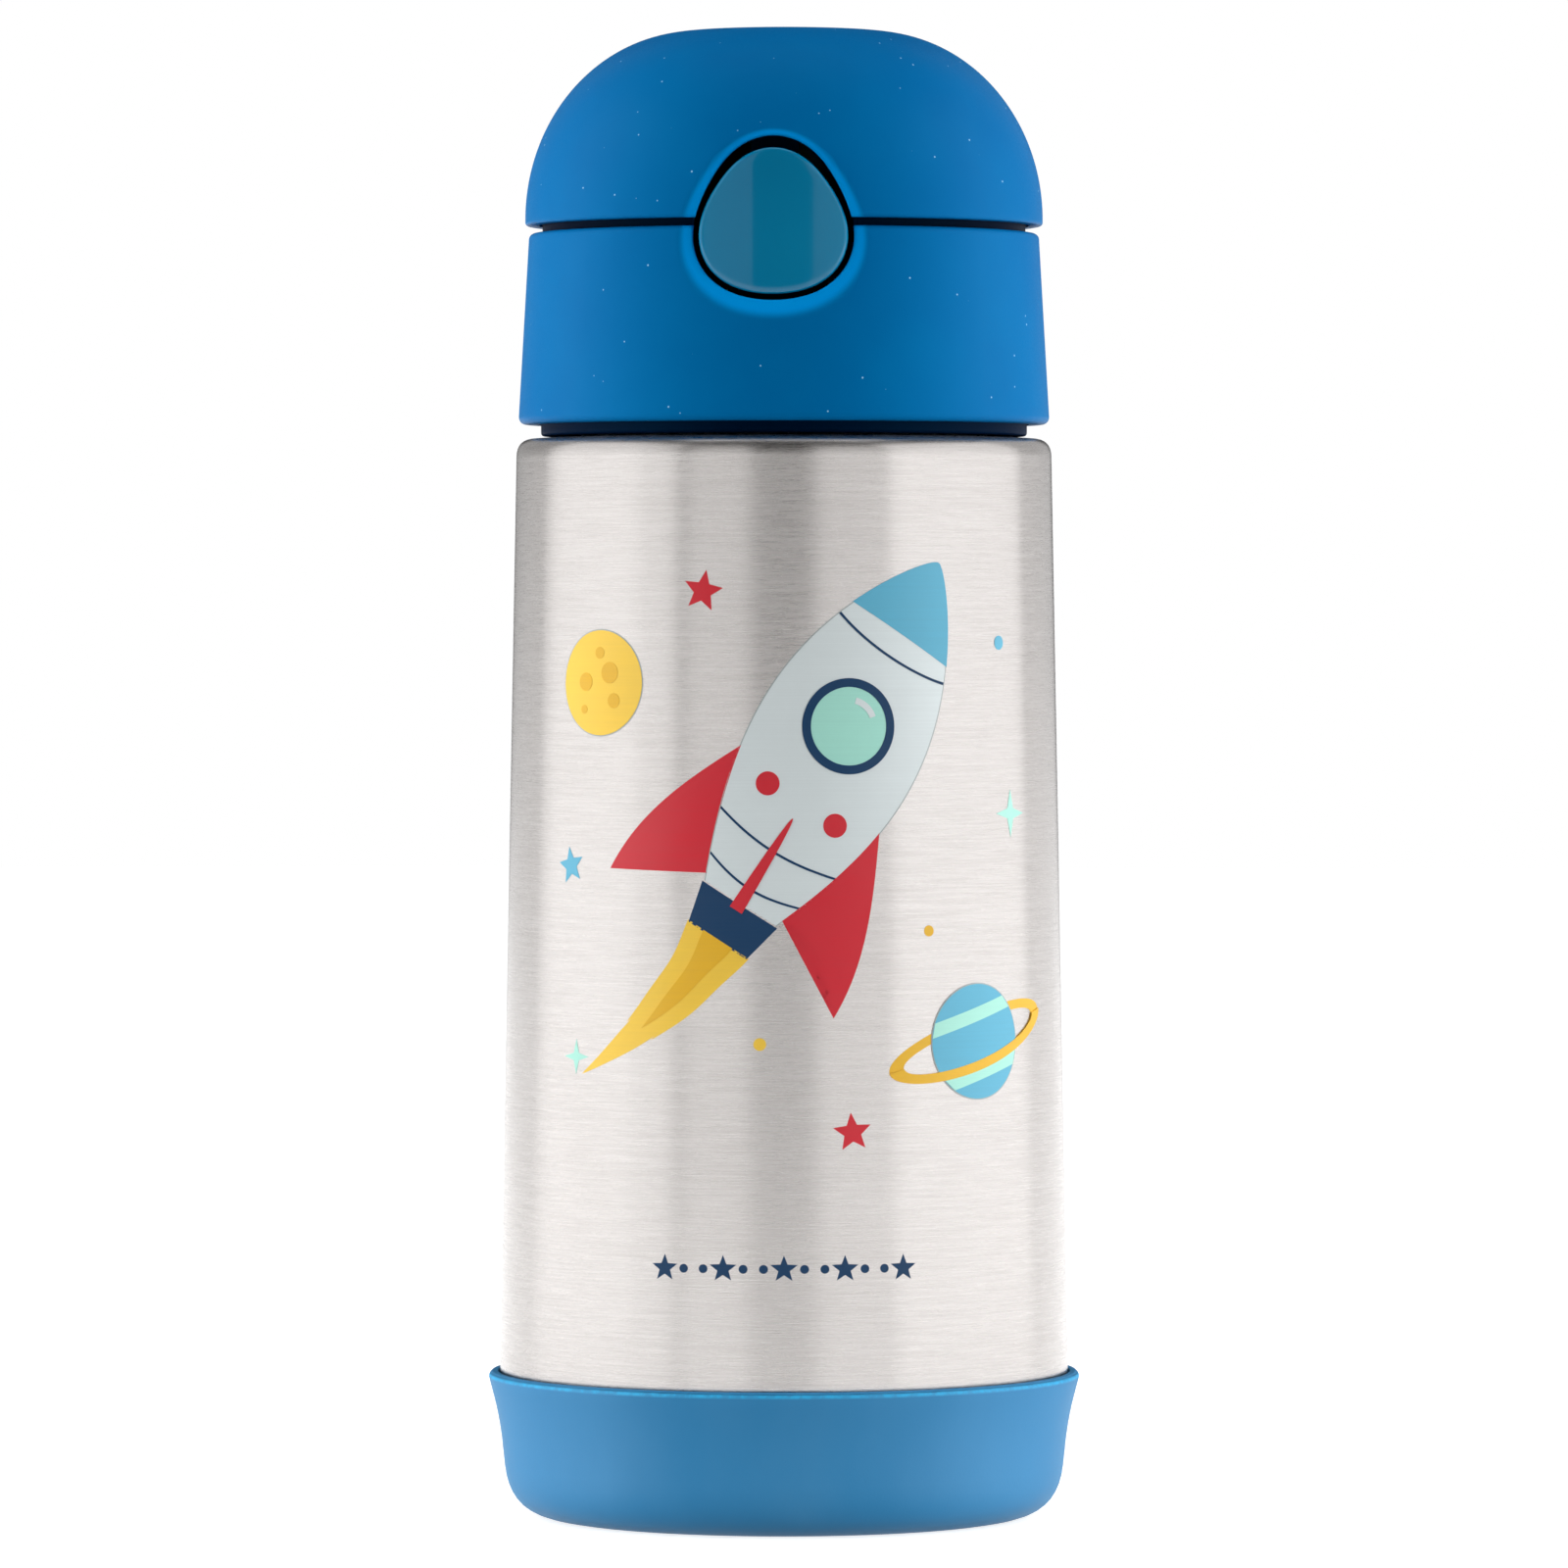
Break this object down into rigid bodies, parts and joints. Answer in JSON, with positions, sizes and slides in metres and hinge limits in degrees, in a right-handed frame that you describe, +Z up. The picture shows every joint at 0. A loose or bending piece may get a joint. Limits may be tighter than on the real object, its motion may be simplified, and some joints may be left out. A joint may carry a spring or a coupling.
{
  "type": "kids water bottle",
  "caption": "Double-wall steel water bottle for a child, with a screw-on lid, a push-button flip cap over a straw mouthpiece, and a silicone boot.",
  "frame": {"origin": "middle of the foot, on the surface that the bottle stands on", "axes": "+Z up along the bottle's axis, -Y towards the push button at the front, +Y towards the hinge at the back"},
  "size_m": [0.0758, 0.0758, 0.19],
  "materials": {
    "brushed_steel": "fine brushing round the body, with a printed picture on the front",
    "plain_steel": "bright, unprinted",
    "blue_plastic": "matte, finely textured polypropylene",
    "dark_blue_plastic": "matte",
    "teal_plastic": "high gloss",
    "boot_silicone": "satin silicone",
    "clear_silicone": "soft, milky silicone",
    "white_silicone": "soft, matte silicone",
    "clear_plastic": "smooth, nearly clear"
  },
  "bodies": {
    "bottle": {"outer_wall": "brushed_steel", "inner_vessel": "plain_steel", "base_plate": "plain_steel", "vacuum_seal": "plain_steel", "vacuum_getter": "plain_steel", "silicone_boot": "boot_silicone"},
    "gasket": {"neck_gasket": "white_silicone"},
    "lid": {"lid_collar": "blue_plastic", "threaded_insert": "dark_blue_plastic", "mouthpiece": "clear_silicone", "straw": "clear_plastic", "vent_valve": "white_silicone", "hinge_pin": "plain_steel", "hinge_spring": "plain_steel", "button_spring": "plain_steel"},
    "cap": {"flip_cap": "blue_plastic", "cap_plate": "white_silicone", "spout_seal": "white_silicone"},
    "button": {"button_face": "teal_plastic", "latch": "dark_blue_plastic"}
  },
  "joints": [
    {"name": "lid_rise", "type": "slide", "parent": "bottle", "child": "gasket", "axis": [0, 0, 1], "range_m": [0, 0.0061]},
    {"name": "lid_unscrew", "type": "hinge", "parent": "gasket", "child": "lid", "pos_m": [0, 0, 0.138], "axis": [0, 0, 1], "range_deg": [0, 720]},
    {"name": "cap_hinge", "type": "hinge", "parent": "lid", "child": "cap", "pos_m": [0, 0.0356, 0.1652], "axis": [-1, 0, 0], "range_deg": [0, 115], "deforming": ["hinge_spring"]},
    {"name": "button_press", "type": "slide", "parent": "lid", "child": "button", "axis": [0, 1, 0], "range_m": [0, 0.0025], "stiffness_N_per_m": 1500, "springref_m": -0.001, "deforming": ["button_spring"]}
  ],
  "couplings": [
    {"joint": "lid_rise", "follows": "lid_unscrew", "m_per_rad": 0.00047746}
  ]
}
